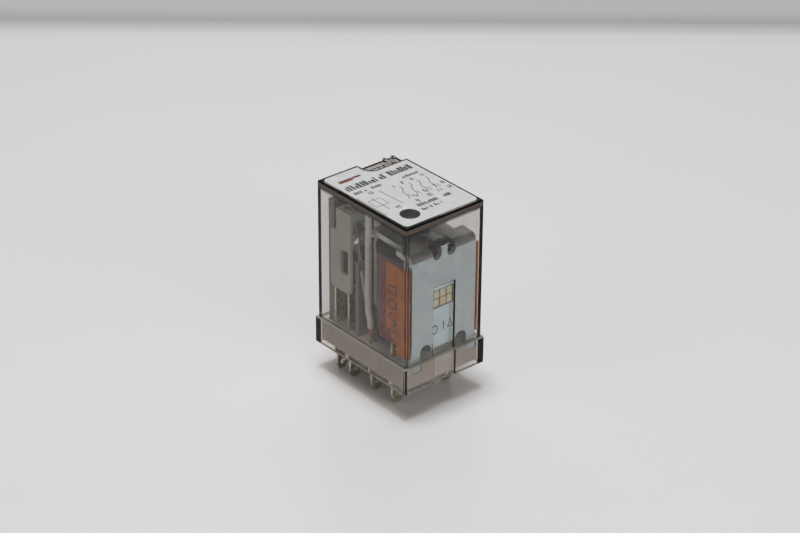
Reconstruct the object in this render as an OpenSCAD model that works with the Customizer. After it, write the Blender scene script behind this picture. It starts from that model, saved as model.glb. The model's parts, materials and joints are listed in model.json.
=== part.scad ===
// Four pole plug-in control relay in a clear cover, standing on its blades.
// Millimetres. z = 0 is the seating plane, +X is the coil end, -X the contact end, +Z is up.

/* [Cover] */
// Length of the cover over its skirt
skirt_len = 28.4; // [28.2:0.1:29]
// Width of the cover over its skirt
skirt_wid = 21.1; // [21:0.1:21.8]
// Height of the skirt
skirt_h = 5.8; // [5.2:0.1:6.4]
// How far the skirt stands proud of the wall above it
skirt_step = 0.5; // [0.4:0.05:0.5]
// Height of the cover's top face
cover_top = 37.1; // [36.8:0.1:39]
// Radius of the cover's outer edges
edge_r = 0.3; // [0.2:0.05:0.4]
// Width of the channel in the coil end wall
channel_wid = 5.7; // [4:0.1:8]
// Height of the channel in the coil end wall
channel_h = 21.6; // [15:0.1:25]
// Depth of the channel
channel_deep = 0.4; // [0.2:0.05:0.5]

/* [Label] */
// Length of the label
label_len = 25.8; // [25:0.1:26.4]
// Width of the label
label_wid = 18.7; // [18:0.1:19.2]
// Thickness of the label
label_t = 0.1; // [0.08:0.01:0.15]
// Radius of the round window in the label
window_r = 2.05; // [1.5:0.05:2.5]

/* [Blades] */
// Length of the blades below the seating plane
blade_len = 6.2; // [5:0.1:7]
// Width of a blade
blade_wid = 2.6; // [2.2:0.1:2.8]
// Thickness of a blade
blade_t = 0.5; // [0.4:0.05:0.6]
// Radius of the eyelet in a blade
eye_r = 0.6; // [0.4:0.05:0.7]
// Distance between neighbouring poles
pole_pitch = 4.4; // [4.3:0.05:4.5]

/* [Coil and frame] */
// Thickness of the yoke's steel
yoke_t = 1.2; // [1:0.1:1.2]
// Width of the yoke
yoke_wid = 16.6; // [16:0.1:16.8]
// Radius of the core
core_r = 3.0; // [2.5:0.1:3]

/* [Contacts] */
// Angle the armature stands open at rest
open_deg = 3.4; // [3:0.1:3.5]
// Radius of a contact
contact_r = 1.1; // [0.9:0.05:1.2]
// Radius of a lead's sleeve
sleeve_r = 0.72; // [0.5:0.02:0.72]

/* [Hidden] */
$fn = 48;

clear_plastic = [0.80, 0.78, 0.77, 0.35];
label_white = [0.93, 0.93, 0.92];
grey_plastic = [0.45, 0.45, 0.44];
pale_plastic = [0.74, 0.78, 0.72];
cream_plastic = [0.88, 0.84, 0.72];
dark_plastic = [0.20, 0.19, 0.18];
zinc = [0.68, 0.72, 0.75];
tinned_brass = [0.78, 0.72, 0.55];
silver = [0.85, 0.85, 0.86];
copper = [0.72, 0.42, 0.24];
spring_bronze = [0.76, 0.55, 0.32];
wire_enamel = [0.38, 0.12, 0.08];
tape_orange = [0.74, 0.36, 0.14];
sleeve_white = [0.82, 0.84, 0.84];

// cover
wall_t = 0.65;
top_t = 1.7;
body_len = skirt_len - 2 * skirt_step;
body_wid = skirt_wid - 2 * skirt_step;
inside_len = body_len - 2 * wall_t;
inside_wid = body_wid - 2 * wall_t;
inside_r = 0.2;
ceiling = cover_top - top_t;
slide_gap = 0.1;
eps = 0.01;

// corner pocket of the cover, on the contact end
pocket_x = -9.6;
pocket_y = 0.1;
pocket_r = 2.0;
pocket_rim = cover_top - 1.1;
pocket_floor = cover_top - 1.7;
pocket_wall = 0.7;
far_out = 16;

// base
base_h = 5.0;
base_len = inside_len - 2 * slide_gap;
base_wid = inside_wid - 2 * slide_gap;
slot_gap = 0.02;

// rows of blades, along X
nc_x = -10.35;
no_x = -6.17;
com_x = 0.63;
coil_x = 7.13;
coil_y = 1.5 * pole_pitch;
eye_z = -4.6;
tip_chamfer = 0.6;
nc_top = 17.2;
no_top = 16.2;
com_top = 6.8;

// magnetic frame
yoke_out = 12.8;
magnet_y = 0.4;
yoke_in = yoke_out - yoke_t;
yoke_top = 28.4;
yoke_foot = 3.7;
leg_z = 6.2;
bend_r = yoke_t + 0.4;
tab_wid = 6.2;
leg_end = 1.9;
core_x = 4.9;
pole_top = 28.55;
hinge_x = 12.25;
hinge_z = 28.45;
tongue_wid = 1.5;
tongue_top = 29.9;

// coil
coil_mid = 5.6;
coil_r = 6.05;
coil_off = 2.3;
coil_end = 10.85;
coil_low = 8.55;
coil_high = 27.05;
flange_low = 7.6;
flange_t = 0.95;
tape_t = 0.15;

// armature, drawn closed and then turned open
arm_t = 1.2;
arm_low = pole_top + 0.05;
arm_top = arm_low + arm_t;
arm_bend = 1.6;
arm_wid = yoke_wid;
arm_neck_wid = 12.8;
arm_neck_x = 8.6;
arm_tail_x = -0.5;
arm_tip_x = -6.4;
arm_tip_wid = 7.0;
arm_slot = 5.8;

// carrier and moving springs
carrier_out = 8.7;
carrier_in = 8.0;
bar_low = 24.4;
bar_high = 27.8;
spring_t = 0.2;
spring_x = -7.3;
tip_x = -8.6;
spring_top = 33.1;
spring_bend = 20.5;
tip_bend = 17.2;
spring_low = 13.9;
fixed_z = 14.8;
moving_z = 15.4;
contact_gap = 0.03;
head_t = 0.6;

// leads
wire_r = 0.35;
wire_gap = 0.03;
bare_len = 0.6;
end_len = 3.4;
arch_r = 1.3;
lead_x = spring_x + spring_t / 2 + wire_r + 0.01;
lead_z = 32.6;
com_side_x = com_x - blade_t / 2 - wire_r - 0.01;

function pole_y(i) = (i - 2.5) * pole_pitch;
function is_outer(i) = i == 1 || i == 4;

// flat outlines

module round_rect(l, w, r) {
    square([l - 2 * r, w], center = true);
    square([l, w - 2 * r], center = true);
    for (sx = [-1, 1]) {
        for (sy = [-1, 1]) {
            translate([sx * (l / 2 - r), sy * (w / 2 - r)]) circle(r = r);
        }
    }
}

module pocket_plan(grow) {
    r = pocket_r + grow;
    x = pocket_x + grow;
    y = pocket_y - grow;
    translate([-far_out, y]) square([far_out + x - r, far_out]);
    translate([-far_out, y + r]) square([far_out + x, far_out]);
    translate([x - r, y + r]) circle(r = r);
}

module coil_plan(grow) {
    corner = 1.0;
    half = coil_off + coil_r + grow;
    right = coil_end + grow;
    for (s = [-1, 1]) {
        intersection() {
            translate([coil_mid, s * coil_off]) circle(r = coil_r + grow);
            translate([coil_mid - half, -half]) square([half + eps, 2 * half]);
        }
        translate([right - corner, s * (half - corner)]) circle(r = corner);
    }
    translate([coil_mid - coil_r - grow, -coil_off]) square([coil_r + grow, 2 * coil_off]);
    translate([coil_mid, -half]) square([right - corner - coil_mid, 2 * half]);
    translate([coil_mid, corner - half]) square([right - coil_mid, 2 * (half - corner)]);
}

// an outline drawn in Y and Z, extruded from x towards +X
module plate_x(x, t) {
    translate([x, 0, 0]) rotate([90, 0, 90]) linear_extrude(t) children();
}

// an outline drawn in X and Z, extruded from y towards +Y
module plate_y(y, t) {
    translate([0, y + t, 0]) rotate([90, 0, 0]) linear_extrude(t) children();
}

// solid helpers

module soft_block(l, w, h, r) {
    linear_extrude(h - r) round_rect(l, w, r);
    translate([0, 0, h / 2]) cube([l - 2 * r, w - 2 * r, h], center = true);
    translate([0, 0, h - r]) {
        for (sy = [-1, 1]) {
            translate([0, sy * (w / 2 - r), 0]) rotate([0, 90, 0]) cylinder(r = r, h = l - 2 * r, center = true);
        }
        for (sx = [-1, 1]) {
            translate([sx * (l / 2 - r), 0, 0]) rotate([90, 0, 0]) cylinder(r = r, h = w - 2 * r, center = true);
            for (sy = [-1, 1]) {
                translate([sx * (l / 2 - r), sy * (w / 2 - r), 0]) sphere(r = r);
            }
        }
    }
}

// a bend that starts at the origin heading +Z and curves towards +X
module bend(angle, bend_r) {
    translate([bend_r, 0, 0]) mirror([1, 0, 0]) rotate([90, 0, 0]) rotate_extrude(angle = angle) translate([bend_r, 0]) children();
}

// lays a wire or tube of the given section: each step is a straight length, a bend, its radius and its roll
module lay(steps, i = 0) {
    s = steps[i];
    if (s[0] > 0) linear_extrude(s[0]) children();
    if (i < len(steps) - 1) {
        translate([0, 0, s[0]]) rotate([0, 0, s[3]]) {
            bend(s[1], s[2]) children();
            translate([s[2] * (1 - cos(s[1])), 0, s[2] * sin(s[1])]) rotate([0, s[1], 0]) lay(steps, i + 1) children();
        }
    }
}

module disc_x(x0, x1, y, z, r) {
    translate([x0, y, z]) rotate([0, 90, 0]) cylinder(h = x1 - x0, r = r);
}

// turns a piece drawn with the armature closed to the open rest position
module opened() {
    translate([hinge_x, 0, hinge_z]) rotate([0, open_deg, 0]) translate([-hinge_x, 0, -hinge_z]) children();
}

// cover and label

module cover_inside() {
    difference() {
        translate([0, 0, -1]) linear_extrude(ceiling + 1) round_rect(inside_len, inside_wid, inside_r);
        translate([0, 0, pocket_floor - wall_t]) linear_extrude(ceiling) pocket_plan(wall_t);
    }
}

module lever_seat() {
    nub_r = 0.5;
    nub_top = cover_top - 0.15;
    nub_low = pocket_floor - eps;
    for (p = [[-12.3, 8.5], [-12.5, 6.5]]) {
        translate([p[0], p[1], nub_low]) cylinder(r = nub_r, h = nub_top - nub_low);
    }
    translate([-12.7, 6.5, nub_low]) cube([0.5, 2.0, 0.9]);
    translate([-12.0, 4.6, nub_low]) cube([1.6, 0.5, 0.7]);
}

module cover() {
    color(clear_plastic) {
        difference() {
            union() {
                linear_extrude(skirt_h) round_rect(skirt_len, skirt_wid, edge_r);
                soft_block(body_len, body_wid, cover_top, edge_r);
            }
            cover_inside();
            translate([body_len / 2 - channel_deep, -channel_wid / 2, skirt_h]) cube([2, channel_wid, channel_h - skirt_h]);
            translate([skirt_len / 2 - channel_deep, -channel_wid / 2, -1]) cube([2, channel_wid, skirt_h + 2]);
            translate([0, 0, pocket_rim]) linear_extrude(2) pocket_plan(0);
            translate([0, 0, pocket_floor]) linear_extrude(2) intersection() {
                pocket_plan(0);
                square([body_len - 2 * pocket_wall, body_wid - 2 * pocket_wall], center = true);
            }
        }
        lever_seat();
    }
}

module label() {
    color(label_white) translate([0, 0, cover_top]) linear_extrude(label_t) difference() {
        round_rect(label_len, label_wid, 1.0);
        pocket_plan(0.1);
        translate([9.1, -5.2]) circle(r = window_r);
    }
}

// base and contact block

module blade_slots() {
    w = blade_wid + 2 * slot_gap;
    t = blade_t + 2 * slot_gap;
    for (i = [1 : 4]) {
        for (x = [nc_x, no_x, com_x]) {
            translate([x, pole_y(i), base_h / 2]) cube([t, w, 2 * base_h], center = true);
        }
    }
    for (s = [-1, 1]) {
        translate([coil_x, s * coil_y, base_h / 2]) cube([t, w, 2 * base_h], center = true);
    }
}

module base() {
    rib_t = 0.7;
    rebate = 0.9;
    rebate_h = 0.8;
    color(grey_plastic) difference() {
        union() {
            translate([0, 0, rebate_h]) linear_extrude(base_h - rebate_h) round_rect(base_len, base_wid, 0.3);
            linear_extrude(base_h) round_rect(base_len - 2 * rebate, base_wid - 2 * rebate, 0.3);
            for (y = [-pole_pitch, 0, pole_pitch]) {
                translate([-1.6, y - rib_t / 2, base_h - eps]) cube([3.0, rib_t, 1.1]);
            }
        }
        blade_slots();
        for (s = [-1, 1]) {
            translate([yoke_in - 0.15, magnet_y + s * 7.2 - 1.3, yoke_foot - 0.05]) cube([3, 2.6, 3]);
        }
        translate([3.0, -3.4, -1]) cube([6.4, 6.8, 1.9]);
        translate([-4.4, -7.6, -1]) cube([3.0, 15.2, 1.9]);
    }
}

module contact_block() {
    back_x = -12.4;
    front_x = -4.0;
    wall_y = carrier_in - 0.15;
    wall_in = nc_x - blade_t / 2 - slot_gap;
    part_t = 0.7;
    color(grey_plastic) {
        translate([back_x, -wall_y, base_h]) cube([wall_in - back_x, 2 * wall_y, 28.0]);
        translate([front_x, -wall_y, base_h]) cube([1.0, 2 * wall_y, 17.0]);
        for (y = [-pole_pitch, 0, pole_pitch]) {
            translate([wall_in - eps, y - part_t / 2, base_h]) cube([front_x - wall_in + 2 * eps, part_t, 14.0]);
        }
    }
}

// terminals

module blade_outline(top) {
    h = blade_wid / 2;
    c = tip_chamfer;
    difference() {
        polygon([[c - h, -blade_len], [h - c, -blade_len], [h, 1.2 * c - blade_len], [h, top], [-h, top], [-h, 1.2 * c - blade_len]]);
        translate([0, eye_z]) circle(r = eye_r);
    }
}

module blade(x, y, top) {
    color(tinned_brass) translate([0, y, 0]) plate_x(x - blade_t / 2, blade_t) blade_outline(top);
}

module nc_terminal(i) {
    blade(nc_x, pole_y(i), nc_top);
}

module no_terminal(i) {
    blade(no_x, pole_y(i), no_top);
}

module com_terminal(i) {
    blade(com_x, pole_y(i), com_top);
}

module coil_terminal(s) {
    blade(coil_x, s * coil_y, com_top);
}

// contacts

module nc_contact(i) {
    x0 = nc_x + blade_t / 2;
    x1 = tip_x - spring_t / 2 - head_t - contact_gap;
    color(silver) disc_x(x0, x1, pole_y(i), fixed_z, contact_r);
}

module no_contact(i) {
    travel = (hinge_z - moving_z) * sin(open_deg);
    x0 = tip_x + spring_t / 2 + head_t + travel + 3 * contact_gap;
    color(silver) disc_x(x0, no_x - blade_t / 2, pole_y(i), fixed_z, contact_r);
}

module moving_contact(i) {
    half = spring_t / 2;
    color(silver) {
        disc_x(tip_x - half - head_t, tip_x - half, pole_y(i), moving_z, contact_r);
        disc_x(tip_x + half, tip_x + half + head_t, pole_y(i), moving_z, contact_r);
        disc_x(tip_x - half - eps, tip_x + half + eps, pole_y(i), moving_z, 0.5);
    }
}

module moving_spring(i) {
    h = spring_t / 2;
    color(spring_bronze) difference() {
        plate_y(pole_y(i) - 1.15, 2.3) polygon([
            [spring_x - h, spring_top], [spring_x + h, spring_top],
            [spring_x + h, spring_bend], [tip_x + h, tip_bend],
            [tip_x + h, spring_low], [tip_x - h, spring_low],
            [tip_x - h, tip_bend], [spring_x - h, spring_bend]]);
        disc_x(tip_x - 1, tip_x + 1, pole_y(i), moving_z, 0.52);
    }
}

// flexible leads from the moving springs to the common terminals

function drop_x(i) = is_outer(i) ? -0.7 : -1.4;
function drop_y(i) = is_outer(i) ? 7.2 : 4.3;
function top_y(i) = is_outer(i) ? 6.7 : 2.3;
function end_y(i) = is_outer(i) ? 7.2 : 3.0;
function bow_angle(i) = is_outer(i) ? 22 : 35;
function bow_r(i) = is_outer(i) ? 4.0 : 3.0;
function bow_z(i) = is_outer(i) ? 12.5 : 13.4;

// the steps of a lead on the +Y side, from its bare top end down to its end length past the last bend
function lead_steps(i, top_len, end_len) =
    let (over = [drop_x(i) - lead_x, drop_y(i) - top_y(i)])
    let (across = [com_side_x - drop_x(i), end_y(i) - drop_y(i)])
    let (turn_over = atan2(over[1], over[0]))
    let (turn_across = atan2(across[1], across[0]))
    let (a = bow_angle(i))
    let (r = bow_r(i))
    let (slant = (norm(across) - 2 * r * (1 - cos(a))) / sin(a))
    let (arch_z = lead_z + bare_len + arch_r)
    [[top_len, 90, arch_r, turn_over],
     [norm(over) - 2 * arch_r, 90, arch_r, 0],
     [arch_z - arch_r - bow_z(i), a, r, 180 + turn_over - turn_across],
     [slant, a, r, 180],
     [end_len]];

module on_side(i) {
    if (i < 2.5) {
        mirror([0, 1, 0]) children();
    } else {
        children();
    }
}

module lead_wire(i) {
    color(copper) on_side(i) translate([lead_x, top_y(i), lead_z]) lay(lead_steps(i, bare_len, end_len)) circle(r = wire_r);
}

module lead_sleeve(i) {
    color(sleeve_white) on_side(i) translate([lead_x, top_y(i), lead_z + bare_len]) lay(lead_steps(i, 0, 0.9)) difference() {
        circle(r = sleeve_r);
        circle(r = wire_r + wire_gap);
    }
}

// magnetic frame and coil

module yoke_outline() {
    notch_r = 1.5;
    notch_y = tab_wid / 2 + notch_r;
    notch_z = 7.4;
    dip_y = 1.85;
    difference() {
        union() {
            translate([-yoke_wid / 2, yoke_foot]) square([yoke_wid, yoke_top - yoke_foot]);
            translate([-tongue_wid / 2, yoke_top - 1]) square([tongue_wid, tongue_top - yoke_top + 1]);
        }
        for (s = [-1, 1]) {
            translate([s * notch_y, notch_z]) circle(r = notch_r);
            translate([s * notch_y - notch_r, 0]) square([2 * notch_r, notch_z]);
            translate([s * dip_y, yoke_top]) circle(r = dip_y - tongue_wid / 2);
        }
        translate([-tab_wid / 2 - eps, 0]) square([tab_wid + 2 * eps, leg_z + bend_r]);
        translate([-2.65, 16.3]) square([5.3, 4.1]);
    }
}

module yoke() {
    bend_x = yoke_out - bend_r;
    bend_z = leg_z + bend_r;
    color(zinc) difference() {
        translate([0, magnet_y, 0]) {
            plate_x(yoke_in, yoke_t) yoke_outline();
            plate_y(-tab_wid / 2, tab_wid) {
                translate([leg_end, leg_z]) square([bend_x - leg_end, yoke_t]);
                intersection() {
                    translate([bend_x, leg_z]) square([bend_r, bend_r]);
                    difference() {
                        translate([bend_x, bend_z]) circle(r = bend_r);
                        translate([bend_x, bend_z]) circle(r = bend_r - yoke_t);
                    }
                }
            }
        }
        translate([core_x, 0, leg_z - 1]) cylinder(r = 1.82, h = 4);
    }
}

module core() {
    slot_x = core_x + 0.9;
    color(zinc) difference() {
        union() {
            translate([core_x, 0, leg_z - 0.3]) cylinder(r = 1.8, h = 3);
            translate([core_x, 0, leg_z + yoke_t]) cylinder(r = core_r, h = pole_top - leg_z - yoke_t);
        }
        translate([slot_x, -4, pole_top - 0.6]) cube([0.7, 8, 2]);
    }
}

module shading_ring() {
    slot_x = core_x + 0.9;
    low = coil_high + flange_t + 0.05;
    color(copper) {
        translate([slot_x + 0.02, -3.3, low]) cube([0.66, 6.6, pole_top - 0.1 - low]);
        translate([core_x, 0, low]) linear_extrude(pole_top - 0.1 - low) intersection() {
            difference() {
                circle(r = core_r + 0.75);
                circle(r = core_r + 0.02);
            }
            translate([0.92, -5]) square([5, 10]);
        }
    }
}

module bobbin() {
    cut_x = 0.85;
    color(dark_plastic) difference() {
        union() {
            translate([0, 0, coil_high]) linear_extrude(flange_t) coil_plan(0.3);
            translate([core_x, 0, flange_low]) cylinder(r = core_r + 0.9, h = coil_high - flange_low + eps);
            translate([0, 0, flange_low]) linear_extrude(flange_t) intersection() {
                coil_plan(0.3);
                translate([cut_x, -10]) square([12, 20]);
            }
        }
        translate([core_x, 0, 0]) cylinder(r = core_r + 0.05, h = 40);
    }
}

module winding() {
    color(wire_enamel) difference() {
        translate([0, 0, coil_low + 0.03]) linear_extrude(coil_high - coil_low - 0.06) coil_plan(0);
        translate([core_x, 0, 0]) cylinder(r = core_r + 0.95, h = 40);
        plate_y(-10, 20) polygon([[-3, 15.4], [-3, 0], [4, 0], [4, 8.4]]);
    }
}

module coil_tape() {
    cut_x = 6.3;
    color(tape_orange) difference() {
        translate([0, 0, coil_low + 0.05]) linear_extrude(coil_high - coil_low - 0.1) difference() {
            coil_plan(0.02 + tape_t);
            coil_plan(0.02);
        }
        plate_y(-10, 20) polygon([[-4, 0], [-4, 40], [cut_x, 40], [cut_x, 12.6], [9.7, 8.5], [9.7, 0]]);
    }
}

module coil_retainer() {
    plate_low = 15.7;
    color(cream_plastic) {
        translate([yoke_in - 0.28, magnet_y - 2.9, plate_low]) cube([0.26, 5.8, 5.3]);
        for (y = [-1.7, 0, 1.7]) {
            translate([yoke_in - 0.1, magnet_y + y - 0.68, 16.5]) cube([yoke_t, 1.36, 1.7]);
            translate([yoke_in - 0.1, magnet_y + y - 0.68, 18.5]) cube([yoke_t, 1.36, 1.6]);
        }
    }
}

module coil_lead(i) {
    r = 0.15;
    drop = 2.5;
    turn_r = 0.5;
    start = [8.6, 8.86, 9.4];
    finish = [coil_x + blade_t / 2 + r + eps, 7.2];
    d = [finish[0] - start[0], finish[1] - start[1]];
    steps = [[drop, 90, turn_r, -atan2(d[1], d[0])], [norm(d) - turn_r]];
    color(copper) on_side(2 * i) translate(start) rotate([180, 0, 0]) lay(steps) circle(r = r);
}

// armature, carrier and hinge spring

module armature_closed() {
    bend_x = yoke_out - 0.03 - arm_bend;
    bend_z = arm_top - arm_bend;
    foot_z = hinge_z + 0.05;
    difference() {
        union() {
            plate_y(magnet_y - arm_wid / 2, arm_wid) {
                translate([arm_neck_x, arm_low]) square([bend_x - arm_neck_x, arm_t]);
                intersection() {
                    translate([bend_x, foot_z]) square([arm_bend, arm_bend]);
                    difference() {
                        translate([bend_x, bend_z]) circle(r = arm_bend);
                        translate([bend_x, bend_z]) circle(r = arm_bend - arm_t);
                    }
                }
            }
            translate([arm_tail_x, -arm_neck_wid / 2, arm_low]) cube([arm_neck_x - arm_tail_x + eps, arm_neck_wid, arm_t]);
            translate([arm_tip_x, -arm_tip_wid / 2, arm_low]) cube([arm_tail_x - arm_tip_x + eps, arm_tip_wid, arm_t]);
        }
        translate([9.7, magnet_y - arm_slot / 2, 0]) cube([5, arm_slot, 40]);
        translate([9.7, magnet_y, 0]) cylinder(r = 1.6, h = 40);
    }
}

module armature() {
    color(zinc) opened() armature_closed();
}

module hinge_spring() {
    t = 0.2;
    z = tongue_top;
    press_x = 7.4;
    press_z = hinge_z + (arm_top - hinge_z) * cos(open_deg) + (hinge_x - press_x) * sin(open_deg) + 0.03;
    color(silver) plate_y(magnet_y - 1.2, 2.4) polygon([
        [yoke_out, z], [yoke_out, z + t], [yoke_in - 0.5, z + 0.75], [press_x, press_z + t], [press_x - 0.9, press_z + 0.5],
        [press_x - 0.9, press_z + 0.3], [press_x, press_z], [yoke_in - 0.5, z + 0.55], [yoke_in, z + t], [yoke_in, z]]);
}

module carrier_side() {
    difference() {
        polygon([[-9.0, 32.5], [-4.5, 32.5], [-4.5, 14.9], [-5.2, 14.2], [-10.1, 14.2], [-10.8, 14.9], [-10.8, 27.3], [-9.0, 27.3]]);
        translate([-7.5, 18.3]) square([2.2, 5.4]);
    }
}

module carrier() {
    web_t = 0.9;
    color(pale_plastic) difference() {
        union() {
            plate_y(-carrier_out, carrier_out - carrier_in) carrier_side();
            plate_y(carrier_in, carrier_out - carrier_in) carrier_side();
            translate([-9.0, -carrier_in - eps, 30.6]) cube([4.5, 2 * (carrier_in + eps), 1.9]);
            translate([-6.6, -5.2, 28.7]) cube([2.3, 10.4, 2.2]);
            translate([-8.4, -carrier_in - eps, bar_low]) cube([3.6, 2 * (carrier_in + eps), bar_high - bar_low]);
            for (y = [-pole_pitch, 0, pole_pitch]) {
                translate([-8.8, y - web_t / 2, 21.5]) cube([2.5, web_t, 9.5]);
            }
        }
        for (i = [1 : 4]) {
            translate([spring_x, pole_y(i), 30]) cube([spring_t + 0.02, 2.34, 14], center = true);
        }
        opened() translate([arm_tip_x - 0.02, -arm_tip_wid / 2 - 0.02, arm_low - 0.02]) cube([5, arm_tip_wid + 0.04, arm_t + 0.04]);
    }
}

module spring_rivets() {
    head_r = 1.15;
    color(silver) for (i = [1 : 4]) {
        translate([-4.8, pole_y(i), 26.3]) rotate([0, 90, 0]) rotate_extrude() intersection() {
            translate([0, -0.25]) circle(r = 1.3);
            square([head_r, 2]);
        }
    }
}

cover();
label();
base();
contact_block();
nc_terminal(1);  // nc_terminal_1
nc_terminal(2);  // nc_terminal_2
nc_terminal(3);  // nc_terminal_3
nc_terminal(4);  // nc_terminal_4
no_terminal(1);  // no_terminal_1
no_terminal(2);  // no_terminal_2
no_terminal(3);  // no_terminal_3
no_terminal(4);  // no_terminal_4
com_terminal(1);  // com_terminal_1
com_terminal(2);  // com_terminal_2
com_terminal(3);  // com_terminal_3
com_terminal(4);  // com_terminal_4
coil_terminal(-1);  // coil_terminal_1
coil_terminal(1);  // coil_terminal_2
nc_contact(1);  // nc_contact_1
nc_contact(2);  // nc_contact_2
nc_contact(3);  // nc_contact_3
nc_contact(4);  // nc_contact_4
no_contact(1);  // no_contact_1
no_contact(2);  // no_contact_2
no_contact(3);  // no_contact_3
no_contact(4);  // no_contact_4
moving_contact(1);  // moving_contact_1
moving_contact(2);  // moving_contact_2
moving_contact(3);  // moving_contact_3
moving_contact(4);  // moving_contact_4
moving_spring(1);  // moving_spring_1
moving_spring(2);  // moving_spring_2
moving_spring(3);  // moving_spring_3
moving_spring(4);  // moving_spring_4
lead_wire(1);  // lead_wire_1
lead_wire(2);  // lead_wire_2
lead_wire(3);  // lead_wire_3
lead_wire(4);  // lead_wire_4
lead_sleeve(1);  // lead_sleeve_1
lead_sleeve(2);  // lead_sleeve_2
lead_sleeve(3);  // lead_sleeve_3
lead_sleeve(4);  // lead_sleeve_4
carrier();
spring_rivets();
armature();
hinge_spring();
yoke();
core();
shading_ring();
bobbin();
winding();
coil_tape();
coil_retainer();
coil_lead(1);  // coil_lead_1
coil_lead(2);  // coil_lead_2
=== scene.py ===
import json
import math
import random

import bmesh
import bpy
import numpy as np
from mathutils import Matrix, Vector, noise


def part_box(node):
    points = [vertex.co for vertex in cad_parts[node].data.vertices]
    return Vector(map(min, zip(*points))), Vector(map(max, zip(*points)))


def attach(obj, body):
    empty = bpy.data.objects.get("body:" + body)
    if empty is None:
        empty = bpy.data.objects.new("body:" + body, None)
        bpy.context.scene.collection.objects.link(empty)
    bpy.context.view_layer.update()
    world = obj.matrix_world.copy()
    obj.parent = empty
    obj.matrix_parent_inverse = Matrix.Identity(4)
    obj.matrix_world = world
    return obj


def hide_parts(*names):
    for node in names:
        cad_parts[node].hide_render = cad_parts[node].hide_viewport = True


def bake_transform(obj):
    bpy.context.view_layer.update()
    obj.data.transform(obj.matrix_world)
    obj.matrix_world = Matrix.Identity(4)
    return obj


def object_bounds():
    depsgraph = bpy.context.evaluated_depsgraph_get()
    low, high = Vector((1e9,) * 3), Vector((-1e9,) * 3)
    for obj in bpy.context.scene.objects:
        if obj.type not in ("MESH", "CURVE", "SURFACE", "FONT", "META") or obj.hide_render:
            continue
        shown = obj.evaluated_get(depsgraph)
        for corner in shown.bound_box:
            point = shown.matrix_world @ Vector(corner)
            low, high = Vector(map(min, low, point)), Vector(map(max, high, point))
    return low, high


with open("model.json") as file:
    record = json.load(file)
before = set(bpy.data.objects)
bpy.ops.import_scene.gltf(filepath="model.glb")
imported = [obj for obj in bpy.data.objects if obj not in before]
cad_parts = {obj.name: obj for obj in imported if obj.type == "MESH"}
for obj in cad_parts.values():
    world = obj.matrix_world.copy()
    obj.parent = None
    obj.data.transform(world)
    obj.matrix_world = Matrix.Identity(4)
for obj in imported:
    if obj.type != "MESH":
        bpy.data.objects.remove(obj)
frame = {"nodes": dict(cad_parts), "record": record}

MM = 0.001
CAD_BOX = [list(p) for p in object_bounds()]
NODES = frame["nodes"]

# Height of the base's flat top in mm, below the ribs that stand on it.
BASE_TOP = 5.0
# Sizes of the cover in mm that its box doesn't give.
SKIRT_STEP = 0.5
SKIRT_H = 5.8
CHANNEL_HALF = 2.85
CHANNEL_TOP = 21.6
CEILING = 35.4
POCKET_X = -9.6
POCKET_Y = 0.1


def box_mm(node):
    lo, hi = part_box(node)
    return np.array(lo) / MM, np.array(hi) / MM


# ---------------------------------------------------------------- materials

def new_material(name):
    m = bpy.data.materials.new(name)
    m.use_nodes = True
    nt = m.node_tree
    return m, nt, nt.nodes["Principled BSDF"]


def coords(nt):
    n = nt.nodes.get("Texture Coordinate") or nt.nodes.new("ShaderNodeTexCoord")
    return n.outputs["Object"]


def stretched(nt, scale):
    n = nt.nodes.new("ShaderNodeMapping")
    n.inputs["Scale"].default_value = scale
    nt.links.new(coords(nt), n.inputs["Vector"])
    return n.outputs["Vector"]


def noise_out(nt, scale, detail=3.0, rough=0.55, vector=None):
    n = nt.nodes.new("ShaderNodeTexNoise")
    n.inputs["Scale"].default_value = scale
    n.inputs["Detail"].default_value = detail
    n.inputs["Roughness"].default_value = rough
    nt.links.new(vector if vector is not None else coords(nt), n.inputs["Vector"])
    return n.outputs["Fac"]


def ramp(nt, fac, stops):
    n = nt.nodes.new("ShaderNodeValToRGB")
    while len(n.color_ramp.elements) < len(stops):
        n.color_ramp.elements.new(0.5)
    for e, (p, c) in zip(n.color_ramp.elements, stops):
        e.position = p
        e.color = (*c, 1.0) if len(c) == 3 else c
    nt.links.new(fac, n.inputs["Fac"])
    return n.outputs["Color"]


def paint(nt, fac, stops, socket):
    nt.links.new(ramp(nt, fac, stops), socket)


def span(nt, fac, a, b, lo=0.3, hi=0.7):
    """a where fac is lo or less, b where it is hi or more."""
    n = nt.nodes.new("ShaderNodeMapRange")
    n.inputs["From Min"].default_value = lo
    n.inputs["From Max"].default_value = hi
    n.inputs["To Min"].default_value = a
    n.inputs["To Max"].default_value = b
    nt.links.new(fac, n.inputs["Value"])
    return n.outputs["Result"]


def bump(nt, bsdf, height, dist, strength=1.0, chain=None):
    n = nt.nodes.new("ShaderNodeBump")
    n.inputs["Distance"].default_value = dist
    n.inputs["Strength"].default_value = strength
    nt.links.new(height, n.inputs["Height"])
    if chain is not None:
        nt.links.new(chain, n.inputs["Normal"])
    nt.links.new(n.outputs["Normal"], bsdf.inputs["Normal"])
    return n.outputs["Normal"]


def shade(c, k):
    return tuple(min(1.0, x * k) for x in c)


def plastic(name, colour, rough, var, grain, bump_mm, sss=0.0):
    m, nt, b = new_material(name)
    cloudy = noise_out(nt, 420, 4, 0.6)
    paint(nt, cloudy, [(0.3, shade(colour, 1 - var)), (0.7, shade(colour, 1 + var))], b.inputs["Base Color"])
    fine = noise_out(nt, grain, 3, 0.6)
    nt.links.new(span(nt, cloudy, rough - 0.06, rough + 0.08), b.inputs["Roughness"])
    bump(nt, b, fine, bump_mm * MM)
    b.inputs["Specular IOR Level"].default_value = 0.45
    if sss:
        b.inputs["Subsurface Weight"].default_value = sss
        b.inputs["Subsurface Scale"].default_value = 0.0006
    return m


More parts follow.
